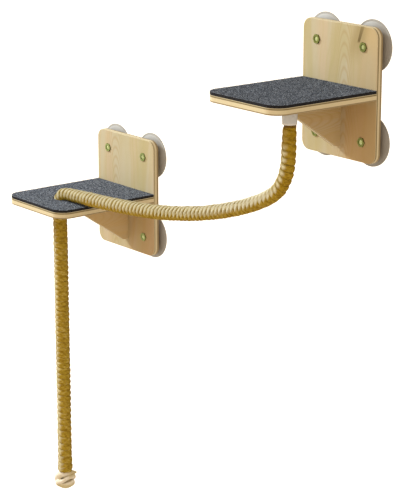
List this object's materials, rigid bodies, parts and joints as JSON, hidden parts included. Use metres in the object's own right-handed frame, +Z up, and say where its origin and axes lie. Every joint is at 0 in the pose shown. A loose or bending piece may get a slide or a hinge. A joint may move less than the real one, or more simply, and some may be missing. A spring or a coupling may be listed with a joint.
{
  "type": "cat climbing wall",
  "caption": "Window-mounted cat climbing set: two carpeted plywood shelves on suction cups, joined by a sisal-wound rope with a hanging knotted tail.",
  "frame": {"origin": "on the glass, in the middle of the upper shelf's four suction cups", "axes": "+X along the window to the right as seen from the room, +Y into the glass, +Z up"},
  "size_m": [0.7094, 0.2128, 0.8747],
  "materials": {
    "pine_plywood": "satin, bare sanded three-layer plywood with vertical grain",
    "carpet": "matt, mottled blue-grey needle felt",
    "cup_rubber": "satin, milky translucent soft vinyl",
    "stud_steel": "satin, zinc plated",
    "nut_steel": "satin, yellow zinc plated",
    "screw_steel": "satin, zinc plated",
    "socket_plastic": "satin white moulded plastic",
    "core_rope": "matt, cream twisted cord",
    "sisal": "matt, golden sisal twine wound close"
  },
  "bodies": {
    "mounted_set": {"upper_back_plate": "pine_plywood", "upper_shelf_board": "pine_plywood", "upper_carpet": "carpet", "upper_gusset": "pine_plywood", "upper_wood_screws": "screw_steel", "upper_cup_top_left": "cup_rubber", "upper_cup_top_right": "cup_rubber", "upper_cup_bottom_left": "cup_rubber", "upper_cup_bottom_right": "cup_rubber", "upper_cup_studs": "stud_steel", "upper_cup_nuts": "nut_steel", "lower_back_plate": "pine_plywood", "lower_shelf_board": "pine_plywood", "lower_carpet": "carpet", "lower_gusset": "pine_plywood", "lower_wood_screws": "screw_steel", "lower_cup_top_left": "cup_rubber", "lower_cup_top_right": "cup_rubber", "lower_cup_bottom_left": "cup_rubber", "lower_cup_bottom_right": "cup_rubber", "lower_cup_studs": "stud_steel", "lower_cup_nuts": "nut_steel", "rope_socket": "socket_plastic", "socket_screw": "screw_steel", "bridge_rope_core": "core_rope", "bridge_sisal_winding": "sisal"},
    "tail_neck": {"neck_rope_core": "core_rope", "neck_sisal_winding": "sisal"},
    "hanging_tail": {"tail_rope_core": "core_rope", "tail_sisal_winding": "sisal", "tail_knot": "core_rope"}
  },
  "joints": [
    {"name": "tail_swing_sideways", "type": "hinge", "parent": "mounted_set", "child": "tail_neck", "pos_m": [-0.532, -0.1578, -0.2907], "axis": [0, 1, 0], "range_deg": [-30, 30]},
    {"name": "tail_swing_in_out", "type": "hinge", "parent": "tail_neck", "child": "hanging_tail", "pos_m": [-0.532, -0.1578, -0.3371], "axis": [1, 0, 0], "range_deg": [-30, 19]}
  ]
}
